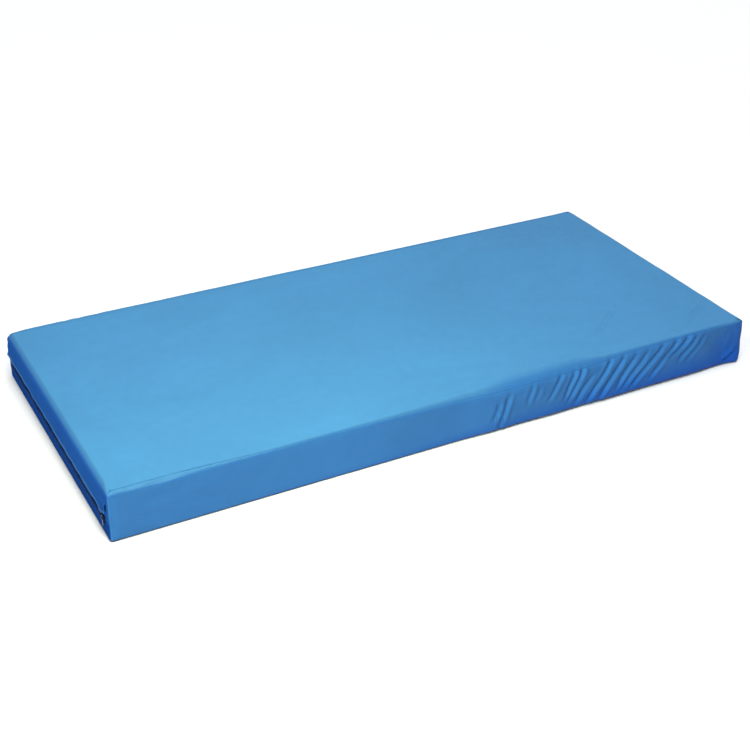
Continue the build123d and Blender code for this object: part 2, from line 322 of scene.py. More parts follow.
def woven(name, colour, pitch, roughness=0.7, gloss=0.25):
    """A plain woven tape or backing cloth with visible threads."""
    n = Nodes(name)
    weave = knit_height(n, pitch)
    shade = n.math("MULTIPLY", n.stretch(-1.5, 1.5, weave, 0.72, 1.15), n.cloud(0.9, 1.1, 55.0, 3.0))
    return n.made(
        Base_Color=n.shaded(colour, shade),
        Roughness=n.cloud(roughness - 0.06, roughness + 0.06, 90.0),
        Specular_IOR_Level=gloss,
        Normal=n.bump(weave, 0.2 * MM, 0.7),
    )


def foam(name, colour):
    """Open-cell foam: fine pores, slightly mottled."""
    n = Nodes(name)
    cells = n.add("ShaderNodeTexVoronoi", Scale=650.0)
    n.link(n.place(), cells.inputs["Vector"])
    pores = cells.outputs["Distance"]
    shade = n.math("MULTIPLY", n.stretch(0.0, 0.6, pores, 0.78, 1.06), n.cloud(0.94, 1.05, 16.0, 4.0))
    return n.made(
        Base_Color=n.shaded(colour, shade),
        Roughness=n.cloud(0.82, 0.95, 200.0),
        Subsurface_Weight=0.08,
        Normal=n.bump(pores, 0.8 * MM, 0.8),
    )


def enamelled_metal(name, colour):
    """Die casting in thin enamel, rubbed through to bare metal in small scratches."""
    n = Nodes(name)
    rubbed = n.stretch(0.66, 0.72, n.noise(1400.0, 5.0, 0.6))
    enamel = n.shaded(colour, n.cloud(0.85, 1.15, 500.0, 3.0))
    return n.made(
        Base_Color=n.mix(rubbed, enamel, (0.10, 0.12, 0.18)),
        Metallic=rubbed,
        Roughness=n.cloud(0.25, 0.4, 1500.0, 4.0),
        Normal=n.bump(n.noise(2500.0), 0.02 * MM, 0.4),
    )


def nylon(name, colour):
    """Moulded nylon of the zip's coil."""
    n = Nodes(name)
    return n.made(
        Base_Color=n.shaded(colour, n.cloud(0.85, 1.15, 400.0)),
        Roughness=n.cloud(0.3, 0.45, 700.0),
        Specular_IOR_Level=0.15,
        Normal=n.bump(n.noise(1800.0), 0.03 * MM, 0.4),
    )


TOP_BLUE = (0.054, 0.220, 0.455)
# Painted shade: the long sides' darker copy of the top's colour
SHADED_SIDE_BLUE = (0.029, 0.134, 0.370)
# Painted shade: the deeper tone of the sides low down and towards the head end
SHADED_LOW_SIDE_BLUE = (0.007, 0.078, 0.385)
# Painted shade: the darker copy for faces turned to the foot end, and for the flap there
SHADED_END_BLUE = (0.018, 0.098, 0.370)
# Painted shade: the foot end's lower border below the flap, darker again
SHADED_LOWER_BLUE = (0.010, 0.057, 0.260)
# Painted highlight: the flap's folded hem, lighter than the flap's own fabric
LIT_HEM_BLUE = (0.045, 0.150, 0.420)
MATERIALS = {
    "top_fabric": coated_knit("top_fabric", TOP_BLUE, SHADED_SIDE_BLUE, 0.16, 0.0, shaded_end_colour=SHADED_END_BLUE),
    "border_fabric": coated_knit("border_fabric", TOP_BLUE, SHADED_SIDE_BLUE, 0.16, 0.06,
                                 low_shade_colour=SHADED_LOW_SIDE_BLUE, painted_fold_shade=0.45),
    "foot_fabric": coated_knit("foot_fabric", SHADED_LOWER_BLUE, SHADED_LOWER_BLUE, 0.08, 0.0, 0.55),
    "base_fabric": woven("base_fabric", (0.020, 0.055, 0.200), 1.6 * MM),
    "flap_fabric": coated_knit("flap_fabric", SHADED_END_BLUE, SHADED_END_BLUE, 0.08, 0.0, 0.55),
    "hem_fabric": coated_knit("hem_fabric", LIT_HEM_BLUE, LIT_HEM_BLUE, 0.15, 0.0, 0.5),
    "tape": woven("tape", (0.003, 0.026, 0.130), 1.1 * MM, 0.8, 0.0),
    "coil": nylon("coil", (0.003, 0.022, 0.110)),
    "metal": enamelled_metal("metal", (0.006, 0.018, 0.075)),
    "thread": woven("thread", (0.055, 0.210, 0.430), 0.4 * MM, 0.6),
    "firm_foam": foam("firm_foam", (0.72, 0.73, 0.68)),
    "soft_foam": foam("soft_foam", (0.82, 0.74, 0.44)),
}


# ---------------- mesh helpers
def add_object(name, data):
    thing = bpy.data.objects.new(name, data)
    bpy.context.scene.collection.objects.link(thing)
    return thing


def new_mesh(name, vertices, faces):
    mesh = bpy.data.meshes.new(name)
    mesh.from_pydata([tuple(v) for v in vertices], [], faces)
    return mesh


def new_object(name, vertices, faces, material, body, slot):
    mesh = new_mesh(name, vertices, [tuple(int(i) for i in f) for f in faces])
    mesh.validate()
    mesh.update()
    piece = add_object(name, mesh)
    mesh.materials.append(MATERIALS[material])
    mesh.shade_smooth()
    if body:
        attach(piece, body)
    return piece


def thicken(piece, thickness):
    """Gives fabric its thickness, behind the face it has, and leaves it a plain mesh."""
    solid = piece.modifiers.new("thickness", "SOLIDIFY")
    solid.thickness = thickness
    solid.offset = -1
    graph = bpy.context.evaluated_depsgraph_get()
    graph.update()
    made = bpy.data.meshes.new_from_object(piece.evaluated_get(graph))
    old = piece.data
    piece.modifiers.clear()
    piece.data = made
    made.name = piece.name
    bpy.data.meshes.remove(old)


def grid_faces(rows, columns):
    return [
        (r * columns + c, r * columns + c + 1, (r + 1) * columns + c + 1, (r + 1) * columns + c)
        for r in range(rows - 1) for c in range(columns - 1)
    ]


def tube_faces(rings, sides, start=0):
    """The faces of a closed tube whose vertices are numbered from start, ring after ring."""
    faces = []
    for ring in range(start, start + (rings - 1) * sides, sides):
        for t in range(sides):
            a, b = ring + t, ring + (t + 1) % sides
            faces.append((a, b, b + sides, a + sides))
    last = start + (rings - 1) * sides
    return faces + [tuple(range(start, start + sides))[::-1], tuple(range(last, last + sides))]


# ---------------- the cover's surface
class Profile:
    """The cover's section at one place round its outline: top, roll, wall, bottom roll, base.

    Each ring of the cover is a place on this section, given as (inset from the wall, height).
    """

    def __init__(self, top_radius, seam_inset):
        self.r = top_radius
        self.flat = RING_START - top_radius
        self.seam = self.length_at_inset(seam_inset)
        self.wall = self.flat + self.r * math.pi / 2

    def length_at_inset(self, inset):
        if inset >= self.r:
            return RING_START - inset
        return self.flat + self.r * math.asin(1 - inset / self.r)

    def at(self, length):
        if length <= self.flat:
            return RING_START - length, HEIGHT
        angle = (length - self.flat) / self.r
        if angle >= math.pi / 2:
            return 0.0, HEIGHT - self.r - (length - self.wall)
        return self.r * (1 - math.sin(angle)), HEIGHT - self.r * (1 - math.cos(angle))

    def rings(self):
        beside_seam = [8 * MM, 4 * MM, 1.6 * MM]
        places = list(np.linspace(0, self.seam - beside_seam[0], 11))
        places += [self.seam - d for d in beside_seam[1:]]
        seam_ring = len(places)
        places += [self.seam] + [self.seam + d for d in reversed(beside_seam[1:])]
        places += list(np.linspace(self.seam + beside_seam[0], max(self.wall, self.seam + 14 * MM), 7))
        made = [self.at(a) for a in places]
        keys = [
            (made[-1][1], SLOT_TOP, 12), (SLOT_TOP, ZIP_Z, 3),
            (ZIP_Z, SLOT_BOTTOM, 3), (SLOT_BOTTOM, BOTTOM_RADIUS, 8),
        ]
        marks = {"seam": seam_ring}
        for (start, end, count), mark in zip(keys, ("slot_top", "zip", "slot_bottom", "wall_end")):
            made += [(0.0, z) for z in np.linspace(start, end, count + 1)[1:]]
            marks[mark] = len(made) - 1
        made += [self.bottom(z) for z in (0.5 * (BOTTOM_RADIUS + BASE_SEAM_Z), BASE_SEAM_Z)]
        marks["base"] = len(made) - 1
        made += [self.bottom(z) for z in (BASE_SEAM_Z * 0.45, BASE_SEAM_Z * 0.15, 0.0)]
        made += [(0.5 * (BOTTOM_RADIUS + BASE_RIM), 0.0), (BASE_RIM, 0.0)]
        return made, marks

    @staticmethod
    def bottom(z):
        angle = math.acos(1 - z / BOTTOM_RADIUS)
        return BOTTOM_RADIUS * (1 - math.sin(angle)), z


# The near long edge: places along it, and the radius of its roll at each. It is crisp beside the
# folds and towards the head end, and soft where the cover is loose before them.
NEAR_EDGE = [
    (-0.97, 8 * MM), (-0.45, 9 * MM), (-0.20, 10 * MM), (-0.04, 16 * MM), (0.10, 28 * MM),
    (0.42, 26 * MM), (0.53, 15 * MM), (0.75, 12 * MM), (0.97, 7 * MM),
]


def near_seam_inset(x):
    """The near seam lies on top at the foot end and drifts out over the edge."""
    return SEAM_INSET * (1 - 0.86 * smooth(-0.85, -0.50, x))


def slot_warp(y):
    """Moves heights on the foot end so that the zip slot's edges wander and rise near its end."""
    end = 1 - smooth(-0.42, -0.37, y)
    lower = (1.6 * ripple(y * 17, 0, 31) + 6 * end) * MM
    upper = (0.8 * ripple(y * 15, 0, 32) + 5 * end) * MM

    def warp(z):
        return z + lower * bump(z, SLOT_BOTTOM, 9 * MM) + upper * bump(z, SLOT_TOP, 9 * MM)

    return warp


def outline_columns():
    """The columns' places along the long sides and across the ends, closest where folds lie."""
    def x_pitch(x):
        return (7.5 - 3.9 * smooth(0.12, 0.22, x) + 3.4 * smooth(0.92, 0.95, x)) * MM

    def y_pitch(y):
        return (8.0 - 3.4 * smooth(-0.40, -0.38, y) * (1 - smooth(-0.19, -0.15, y))) * MM

    xs = in_fours(graded(-HALF_LENGTH, HALF_LENGTH, x_pitch))
    ys = in_fours(graded(-HALF_WIDTH, HALF_WIDTH, y_pitch))
    return xs, snapped(snapped(ys, SLOT_HALF_LENGTH), -SLOT_HALF_LENGTH)


class Cover:
    """The whole closed cover as one grid: rims round the outline, and a top and a base grid."""

    def __init__(self):
        self.xs, self.ys = outline_columns()
        self.nx, self.ny = len(self.xs) - 1, len(self.ys) - 1
        self.columns = (
            [("near", x) for x in self.xs[:-1]] + [("head", y) for y in self.ys[:-1]]
            + [("far", x) for x in self.xs[:0:-1]] + [("foot", y) for y in self.ys[:0:-1]]
        )
        self.build_rims()
        self.top = self.flat_grid(self.xs[1:-1], self.ys[1:-1], RING_START, HEIGHT)
        self.base = self.flat_grid(self.xs[::4], self.ys[::4], 2 * BASE_RIM, 0.0)

    def column_shape(self, side, along):
        """The roll radius and seam inset of one column, blended near the corners."""
        foot_roll, head_roll, far_roll = 20 * MM, 10 * MM, 14 * MM
        if side == "near":
            return np.interp(along, *zip(*NEAR_EDGE)), near_seam_inset(along)
        if side == "far":
            foot, head = (1 - smooth(0.0, 60 * MM, HALF_LENGTH + end * along) for end in (1, -1))
            return far_roll + (foot_roll - far_roll) * foot + (head_roll - far_roll) * head, SEAM_INSET
        corner = 1 - smooth(0.0, 60 * MM, HALF_WIDTH - abs(along))
        roll = foot_roll if side == "foot" else head_roll
        near_corner = NEAR_EDGE[0][1] if side == "foot" else NEAR_EDGE[-1][1]
        corner_roll = near_corner if along < 0 else roll
        return roll * (1 - corner) + corner_roll * corner, SEAM_INSET

    def outline_point(self, side, along, inset):
        """A place on the rounded rectangle that lies inset from the walls."""
        a, b = HALF_LENGTH - inset, HALF_WIDTH - inset
        if side in ("near", "far"):
            x, y = along * a / HALF_LENGTH, (-b if side == "near" else b)
        else:
            x, y = (a if side == "head" else -a), along * b / HALF_WIDTH
        radius = NEAR_CORNER_RADIUS if y < 0 else FAR_CORNER_RADIUS
        radius *= max(1 - inset / RING_START, 0.0)
        inner_x = min(max(x, -(a - radius)), a - radius)
        inner_y = min(max(y, -(b - radius)), b - radius)
        dx, dy = x - inner_x, y - inner_y
        far = math.hypot(dx, dy)
        if far > 1e-9:
            x, y = inner_x + dx * radius / far, inner_y + dy * radius / far
        return x, y

    def build_rims(self):
        rims = []
        for side, along in self.columns:
            rings, self.marks = Profile(*self.column_shape(side, along)).rings()
            warp = slot_warp(along) if side == "foot" else (lambda z: z)
            rims.append([(*self.outline_point(side, along, d), warp(z)) for d, z in rings])
        self.rim = np.array(rims).transpose(1, 0, 2)      # ring, column, xyz
        self.ring_count, self.column_count = self.rim.shape[:2]

    @staticmethod
    def flat_grid(xs, ys, inset, z):
        """A level grid of the columns' places, drawn in from the outline by inset."""
        a = (HALF_LENGTH - inset) / HALF_LENGTH
        b = (HALF_WIDTH - inset) / HALF_WIDTH
        grid_x, grid_y = np.meshgrid(xs * a, ys * b, indexing="ij")
        return np.stack([grid_x, grid_y, np.full_like(grid_x, z)], -1)

    # Vertex numbers
    def rim_id(self, ring, column):
        return ring * self.column_count + column % self.column_count

    def loop_column(self, i, j):
        """The rim column that meets grid place (i, j) on the rectangle's edge."""
        if j == 0:
            return i
        if i == self.nx:
            return self.nx + j
        if j == self.ny:
            return self.nx + self.ny + (self.nx - i)
        return 2 * self.nx + self.ny + (self.ny - j)

    def top_id(self, i, j):
        if i in (0, self.nx) or j in (0, self.ny):
            return self.rim_id(0, self.loop_column(i, j))
        start = self.ring_count * self.column_count
        return start + (i - 1) * (self.ny - 1) + (j - 1)

    def base_id(self, i, j):
        start = self.ring_count * self.column_count + (self.nx - 1) * (self.ny - 1)
        return start + i * (self.ny // 4 + 1) + j

    def vertices(self):
        return np.concatenate([grid.reshape(-1, 3) for grid in (self.rim, self.top, self.base)])

    def side_columns(self, side):
        start = {"near": 0, "head": self.nx, "far": self.nx + self.ny,
                 "foot": 2 * self.nx + self.ny}[side]
        return range(start, start + (self.nx if side in ("near", "far") else self.ny))

    def strip(self, side, first_ring, last_ring, keep=lambda ring, column: True):
        return [
            (self.rim_id(r, c), self.rim_id(r + 1, c), self.rim_id(r + 1, c + 1), self.rim_id(r, c + 1))
            for c in self.side_columns(side) for r in range(first_ring, last_ring) if keep(r, c)
        ]

    def outside_slot(self, ring, column):
        """Whether a face is outside the slot left open for the zip."""
        inside = all(
            abs(self.columns[c % self.column_count][1]) <= SLOT_HALF_LENGTH + 1e-6
            for c in (column, column + 1)
        )
        return not (inside and self.marks["slot_top"] <= ring < self.marks["slot_bottom"])

    def panel_faces(self):
        m = self.marks
        top = [
            (self.top_id(i, j), self.top_id(i + 1, j), self.top_id(i + 1, j + 1), self.top_id(i, j + 1))
            for i in range(self.nx) for j in range(self.ny)
        ]
        top += self.strip("near", 0, m["seam"]) + self.strip("far", 0, m["seam"])
        top += self.strip("head", 0, m["base"])
        top += self.strip("foot", 0, m["zip"], self.outside_slot)
        base = []
        for side in ("near", "head", "far", "foot"):
            base += self.strip(side, m["base"], self.ring_count - 1)
        return {
            "cover_top": top,
            "cover_side_near": self.strip("near", m["seam"], m["base"]),
            "cover_side_far": self.strip("far", m["seam"], m["base"]),
            "cover_foot_lower": self.strip("foot", m["zip"], m["base"], self.outside_slot),
            "cover_base": base + self.base_faces(),
        }

    def base_faces(self):
        """The coarse base grid, and the fans that join it to the finer rim."""
        last = self.ring_count - 1
        cx, cy = self.nx // 4, self.ny // 4
        faces = [
            (self.base_id(i, j), self.base_id(i, j + 1), self.base_id(i + 1, j + 1), self.base_id(i + 1, j))
            for i in range(cx) for j in range(cy)
        ]
        loop = (
            [(i, 0) for i in range(cx)] + [(cx, j) for j in range(cy)]
            + [(i, cy) for i in range(cx, 0, -1)] + [(0, j) for j in range(cy, 0, -1)]
        )
        for k, (i, j) in enumerate(loop):
            here, there = self.base_id(i, j), self.base_id(*loop[(k + 1) % len(loop)])
            rim = [self.rim_id(last, 4 * k + step) for step in range(5)]
            faces += [
                (here, rim[1], rim[0]), (here, rim[2], rim[1]), (here, there, rim[2]),
                (there, rim[3], rim[2]), (there, rim[4], rim[3]),
            ]
        return faces


FOLD_DEPTH = 1.7               # strengthens every crease of the long sides alike
# Creases on the near side, head half: (x, z) at the top end, (x, z) at the bottom end, depth.
NEAR_CREASES = [
    ((0.151, 0.107), (0.124, 0.012), 4.2 * MM),
    ((0.121, 0.091), (0.103, 0.037), 3.2 * MM),
    ((0.228, 0.121), (0.212, 0.062), 1.4 * MM),
    ((0.250, 0.108), (0.236, 0.070), 1.2 * MM),
    ((0.327, 0.132), (0.281, 0.053), 2.2 * MM),
    ((0.368, 0.125), (0.337, 0.041), 2.8 * MM),
    ((0.398, 0.135), (0.349, 0.034), 3.6 * MM),
    ((0.428, 0.100), (0.377, 0.023), 3.0 * MM),
    ((0.491, 0.130), (0.414, 0.016), 5.0 * MM),
    ((0.534, 0.128), (0.457, 0.015), 4.6 * MM),
    ((0.577, 0.126), (0.516, 0.032), 3.4 * MM),
    ((0.618, 0.126), (0.532, 0.025), 3.2 * MM),
    ((0.675, 0.131), (0.570, 0.028), 4.6 * MM),
    ((0.727, 0.135), (0.635, 0.038), 4.0 * MM),
    ((0.774, 0.139), (0.692, 0.082), 3.6 * MM),
    ((0.799, 0.130), (0.736, 0.064), 3.4 * MM),
    ((0.829, 0.125), (0.769, 0.062), 2.6 * MM),
    ((0.915, 0.016), (0.962, 0.045), 4.2 * MM),
]
# Faint ridges across the top near the head end: (x, y) of both ends, height.
TOP_RIDGES = [
    ((0.941, -0.306), (0.789, -0.383), 2.4 * MM),
    ((0.857, -0.185), (0.759, -0.251), 1.5 * MM),
    ((0.670, -0.215), (0.511, -0.334), 2.2 * MM),
]


def crease(u, v, start, end, depth, steep, gentle, sway=0.0):
    """A sharp valley from start to end, steeper on one side, with a low swell on each."""
    run = np.array(end) - np.array(start)
    length = np.linalg.norm(run)
    along = ((u - start[0]) * run[0] + (v - start[1]) * run[1]) / length
    across = ((u - start[0]) * run[1] - (v - start[1]) * run[0]) / length
    share = along / length
    across = across + sway * np.sin(np.clip(share, 0, 1) * math.pi)
    fade = smooth(-0.18, 0.22, share) * (1 - smooth(0.72, 1.16, share))
    side = np.where(across < 0, gentle, steep)
    valley = -depth * np.exp(-np.abs(across) / side)
    swell = 0.70 * depth * bump(across, -1.6 * gentle, 1.0 * gentle)
    swell += 0.30 * depth * bump(across, 2.8 * steep, 1.6 * steep)
    return (valley + swell) * fade


def near_side_relief(x, z):
    """The loose near side: it stands off the foam, and its creases pull it back in."""
    relief = SLACK * smooth(-0.40, 0.05, x)
    relief += FOLD_SLACK * smooth(-0.02, 0.12, x) * (1 - smooth(0.78, 0.92, x))
    for index, (top, bottom, depth) in enumerate(NEAR_CREASES):
        sway = 2.0 * MM * math.sin(2.4 * index)
        relief += crease(x, z, top, bottom, FOLD_DEPTH * depth, 4.4 * MM, 7.5 * MM, sway)
    relief += 1.2 * MM * ripple(x * 6, z * 14, 3) * smooth(-0.2, 0.3, x)
    relief += 0.7 * MM * ripple(x * 2.5, z * 10, 4)
    return relief


def top_relief(x, y):
    relief = CROWN * (1 - (x / HALF_LENGTH) ** 4) * (1 - (y / HALF_WIDTH) ** 4)
    relief += 0.55 * MM * ripple(x * 1.6, y * 1.6, 11)
    for start, end, height in TOP_RIDGES:
        relief -= crease(x, y, start, end, height, 4.5 * MM, 12 * MM)
    return relief


def seam_relief(distance, along, seed, strength=1.0):
    """A narrow groove along a seam, with puckers that gather beside it."""
    pucker = 0.5 + 0.5 * np.sin(along * 2 * math.pi / PUCKER_PITCH + 3 * np.sin(along * 9 + seed))
    broken = 0.4 + 0.6 * smooth(-0.3, 0.5, ripple(along * 26, 0 * along, 40 + seed))
    groove = -1.7 * MM * broken * bump(distance, 0, 2.0 * MM)
    gather = -1.3 * MM * pucker * bump(distance, 0, 6 * MM)
    welt = 0.5 * MM * bump(np.abs(distance), 4.5 * MM, 3 * MM)
    return strength * (groove + gather + welt)


def foam_gap(points):
    """How far each point stands off the foam core, taken as one rounded block."""
    middle, half = (FOAM_LOW + FOAM_HIGH) / 2, (FOAM_HIGH - FOAM_LOW) / 2
    place = np.abs(points - middle)
    roll = np.where(points[:, 2] > middle[2], FOAM_TOP_RADIUS, FOAM_BASE_RADIUS)
    plan = place[:, :2] - half[:2] + FOAM_CORNER_RADIUS
    inside = np.minimum(plan.max(axis=1), 0)
    plan = np.linalg.norm(np.maximum(plan, 0), axis=1) + inside - FOAM_CORNER_RADIUS
    section = np.stack([plan + roll, place[:, 2] - half[2] + roll], -1)
    inside = np.minimum(section.max(axis=1), 0)
    return np.linalg.norm(np.maximum(section, 0), axis=1) + inside - roll


def long_seams(cover, x, y, z):
    """The seams that join the top to the two long sides."""
    relief = np.zeros_like(x)
    for side, sign in (("near", -1), ("far", 1)):
        seam = cover.rim[cover.marks["seam"], list(cover.side_columns(side))]
        order = np.argsort(seam[:, 0])
        seam_y = np.interp(x, seam[order, 0], seam[order, 1])
        seam_z = np.interp(x, seam[order, 0], seam[order, 2])
        beside = (np.sign(y) == sign) & (z > HEIGHT - 40 * MM)
        distance = np.hypot(y - seam_y, z - seam_z)
        hidden = smooth(-0.75, -0.45, x) if side == "near" else 0
        relief += np.where(beside, seam_relief(distance, x, sign, 1 - 0.92 * hidden), 0)
    return relief


def corner_seams(x, y, z):
    """The upright seam at each corner, just round on the long side."""
    relief = np.zeros_like(x)
    for end, inset in ((-1, 7 * MM), (1, 15 * MM)):
        for sign in (-1, 1):
            seam_x = end * (HALF_LENGTH - inset)
            beside = np.sign(y) == sign
            strength = smooth(HALF_WIDTH - 20 * MM, HALF_WIDTH - 6 * MM, np.abs(y))
            strength *= smooth(2 * MM, 12 * MM, z) * (1 - smooth(HEIGHT - 14 * MM, HEIGHT - 2 * MM, z))
            groove = seam_relief(x - seam_x, z, 3 * end + sign, strength)
            relief += np.where(beside, groove, 0)
    return relief


def corner_ear(x, y, z):
    """The spare fabric that stands out at the foot of the near corner of the head end."""
    away = np.hypot(HALF_LENGTH - x, HALF_WIDTH + y)
    low = smooth(0, 6 * MM, z) * (1 - z / HEIGHT)
    return EAR * bump(away, 0, 30 * MM) * low


def vertex_group(piece, name, weights):
    group = piece.vertex_groups.new(name=name)
    for index, weight in enumerate(weights.reshape(-1)):
        group.add([index], float(weight), "REPLACE")
    return name


def foam_stand_in():
    """A rounded block the size of the foam core, for cloth to lie on."""
    block = bmesh.new()
    bmesh.ops.create_cube(block, size=1.0)
    for vertex in block.verts:
        vertex.co = FOAM_LOW + (np.array(vertex.co) + 0.5) * (FOAM_HIGH - FOAM_LOW)
    mesh = bpy.data.meshes.new("foam_stand_in")
    block.to_mesh(mesh)
    block.free()
    stand_in = add_object("foam_stand_in", mesh)
    rounding = stand_in.modifiers.new("rounding", "BEVEL")
    rounding.width = FOAM_TOP_RADIUS
    rounding.segments = 6
    stand_in.modifiers.new("collision", "COLLISION")
    stand_in.collision.thickness_outer = 0.8 * MM
    return stand_in


def add_cloth(piece, start):
    """Fabric a little too big for its place towards the head end, held along all four edges."""
    sewn = np.zeros(start.shape[:2])
    sewn[:SEAM_ROWS] = sewn[-2:] = 1
    sewn[:, :3] = sewn[:, -3:] = 1
    x = start[..., 0]
    roomy = smooth(0.05, 0.35, x) * (1 - smooth(0.80, 0.95, x))
    cloth = piece.modifiers.new("cloth", "CLOTH")
    settings = cloth.settings
    settings.quality = 6
    settings.mass = 0.25
    settings.tension_stiffness = settings.compression_stiffness = 20
    settings.shear_stiffness = 8
    settings.bending_stiffness = 3
    settings.tension_damping = settings.compression_damping = settings.shear_damping = 15
    settings.bending_damping = 0.5
    settings.air_damping = 6
    settings.effector_weights.gravity = 0
    settings.vertex_group_mass = vertex_group(piece, "sewn", sewn)
    settings.vertex_group_shrink = vertex_group(piece, "roomy", roomy)
    settings.shrink_min = 0
    settings.shrink_max = -SPARE_FABRIC
    cloth.collision_settings.distance_min = 0.6 * MM
    cloth.point_cache.frame_start, cloth.point_cache.frame_end = 1, SETTLE_FRAMES


def settled(cover, vertices, side):
    """The cover's vertices after one long side has settled over the foam as cloth."""
    columns = cover.side_columns(side)
    columns = [*columns, columns[-1] + 1]
    rings = range(cover.marks["seam"] + 2 - SEAM_ROWS, cover.marks["base"] + 1)
    ids = np.array([[cover.rim_id(r, c) for c in columns] for r in rings])
    start = vertices[ids]
    piece = add_object("side_cloth", new_mesh("side_cloth", start.reshape(-1, 3), grid_faces(*ids.shape)))
    scene = bpy.context.scene
    add_cloth(piece, start)
    foam_block = foam_stand_in()
    for step in range(1, SETTLE_FRAMES + 1):
        scene.frame_set(step)
    found = np.zeros(start.size)
    after = piece.evaluated_get(bpy.context.evaluated_depsgraph_get()).to_mesh()
    after.vertices.foreach_get("co", found)
    for thing in (piece, foam_block):
        bpy.data.objects.remove(thing)
    scene.frame_set(1)
    shift = found.reshape(-1, 3) - start.reshape(-1, 3)
    far = np.linalg.norm(shift, axis=1, keepdims=True)
    result = vertices.copy()
    result[ids.reshape(-1)] += shift * np.minimum(1, SETTLE_LIMIT / np.maximum(far, 1e-9))
    return result


def vertex_normals(vertices, panels):
    """The way out at each vertex of the closed cover."""
    mesh = new_mesh("measure", vertices, [f for faces in panels.values() for f in faces])
    normals = np.zeros(len(vertices) * 3)
    mesh.vertices.foreach_get("normal", normals)
    bpy.data.meshes.remove(mesh)
    return normals.reshape(-1, 3)


def shaped_cover():
    """The cover's vertices with its crown, creases, seams and slack, and its panels' faces."""
    cover = Cover()
    panels = cover.panel_faces()
    flat = cover.vertices()
    normals = vertex_normals(flat, panels)
    x, y, z = flat.T
    upward = np.clip(normals[:, 2], 0, 1)
    near = np.clip(-normals[:, 1], 0, 1)
    far = np.clip(normals[:, 1], 0, 1)
    head = np.clip(normals[:, 0], 0, 1)
    above_base = smooth(1 * MM, 14 * MM, z)
    relief = (0.5 * MM + top_relief(x, y)) * upward ** 2
    relief += near_side_relief(x, z) * near ** 2 * above_base
    # The far side repeats the near one's folds from end to end, a little shifted and half as deep
    relief += near_side_relief(-x * 0.93 + 0.02, z) * 0.55 * far ** 2 * above_base
    relief += 1.2 * MM * ripple(y * 9, z * 16, 8) * head ** 2 * above_base
    relief += long_seams(cover, x, y, z) + corner_seams(x, y, z) + corner_ear(x, y, z)
    moved = flat + normals * relief[:, None]
    moved = settled(cover, moved, "near")
    for _ in range(3):
        short = np.maximum(REST_GAP - foam_gap(moved), 0)
        moved += normals * short[:, None]
    moved[:, 2] = np.maximum(moved[:, 2], 0)
    return cover, panels, moved


# ---------------- cover pieces
SIDE_CUT = (SEAM_INSET + HEIGHT - BASE_SEAM_Z, 2 * HALF_LENGTH)
TOP_CUT = (2 * (HALF_WIDTH - SEAM_INSET), 2 * HALF_LENGTH + 2 * HEIGHT - ZIP_Z - BASE_SEAM_Z)
LOWER_CUT = (SLOT_BOTTOM - BASE_SEAM_Z, 2 * HALF_WIDTH)
BASE_CUT = (2 * HALF_WIDTH, 2 * HALF_LENGTH)
# Each panel: its material, its slot, the CAD piece it replaces, and the flat size it was cut to
PANELS = {
    "cover_top": ("top_fabric", "top_fabric", "top_panel", TOP_CUT),
    "cover_side_near": ("border_fabric", "border_fabric", "side_border_near", SIDE_CUT),
    "cover_side_far": ("border_fabric", "border_fabric", "side_border_far", SIDE_CUT),
    "cover_foot_lower": ("foot_fabric", "border_fabric", "zip_end_lower_border", LOWER_CUT),
    "cover_base": ("base_fabric", "base_fabric", "base_panel", BASE_CUT),
}


def make_cover():
    cover, panels, vertices = shaped_cover()
    pieces = {}
    for name, faces in panels.items():
        material, slot, node, _ = PANELS[name]
        used = sorted({i for f in faces for i in f})
        number = {old: new for new, old in enumerate(used)}
        faces = [tuple(number[i] for i in f) for f in faces]
        piece = new_object(name, vertices[used], faces, material, "mattress", slot)
        thicken(piece, FABRIC)
        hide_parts(node)
        pieces[name] = piece
    return cover, vertices, pieces


def declare_cover(pieces, stitches):
    """Lists for each panel the pieces that go with it, the stitching and zip tapes with two; nothing is
    done with the lists.
    """
    going_with = {
        "cover_top": [stitches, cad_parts["zip_tape_upper"]],
        "cover_foot_lower": [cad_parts["zip_tape_lower"]],
    }
    for name, piece in pieces.items():
        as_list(going_with.get(name, []))


cover, cover_vertices, cover_pieces = make_cover()


# ---------------- zip flap
FLAP_TOP_Z = STRIP_HIGH.z
FLAP_HALF_LENGTH = FLAP_HIGH.y
FLAP_WALL = -HALF_LENGTH - 0.3 * MM
FLAP_HANG = -HALF_LENGTH - 1.2 * MM       # the flap's back where it hangs
FLAP_FLARE = -HALF_LENGTH - 4.2 * MM      # and at its ends, where it stands off the wall
HEM_CURL = 2.2 * MM
FLAP_EDGE_Z = 69 * MM
FLAP_THICKNESS = 1.1 * MM
HEM_WIDTH = 8 * MM
HEM_THICKNESS = 2.3 * MM
FLAP_DROP = FLAP_TOP_Z - FLAP_EDGE_Z


def flap_back(y, share):
    """The back of the flap: y along it, and share of the way from its seam to its lower edge."""
    near_end = 1 - smooth(-0.425, -0.345, y)
    far_end = smooth(0.395, 0.425, y)
    lift = 13 * MM * (1 - smooth(-0.432, -0.385, y)) + 2 * MM * smooth(0.38, 0.428, y)
    wander = 1.1 * MM * ripple(y * 14, 0 * y, 21) + 0.5 * MM * ripple(y * 60, 0 * y, 22)
    edge_z = FLAP_EDGE_Z + lift + wander
    z = FLAP_TOP_Z + (edge_z - FLAP_TOP_Z) * share
    swing = smooth(0.10, 0.45, share)
    hang = FLAP_HANG + (FLAP_FLARE - FLAP_HANG) * np.maximum(near_end, 0.35 * far_end)
    x = FLAP_WALL + (hang - FLAP_WALL) * swing
    x -= HEM_CURL * smooth(0.62, 1.0, share)
    x -= 0.7 * MM * (1 + ripple(y * 22, share * 3, 23)) * swing * share
    crumple = np.abs(ripple(y * 110 + share * 2, share * 6, 24)) * near_end
    x -= 1.4 * MM * crumple * smooth(0.15, 0.5, share)
    return x, y, z


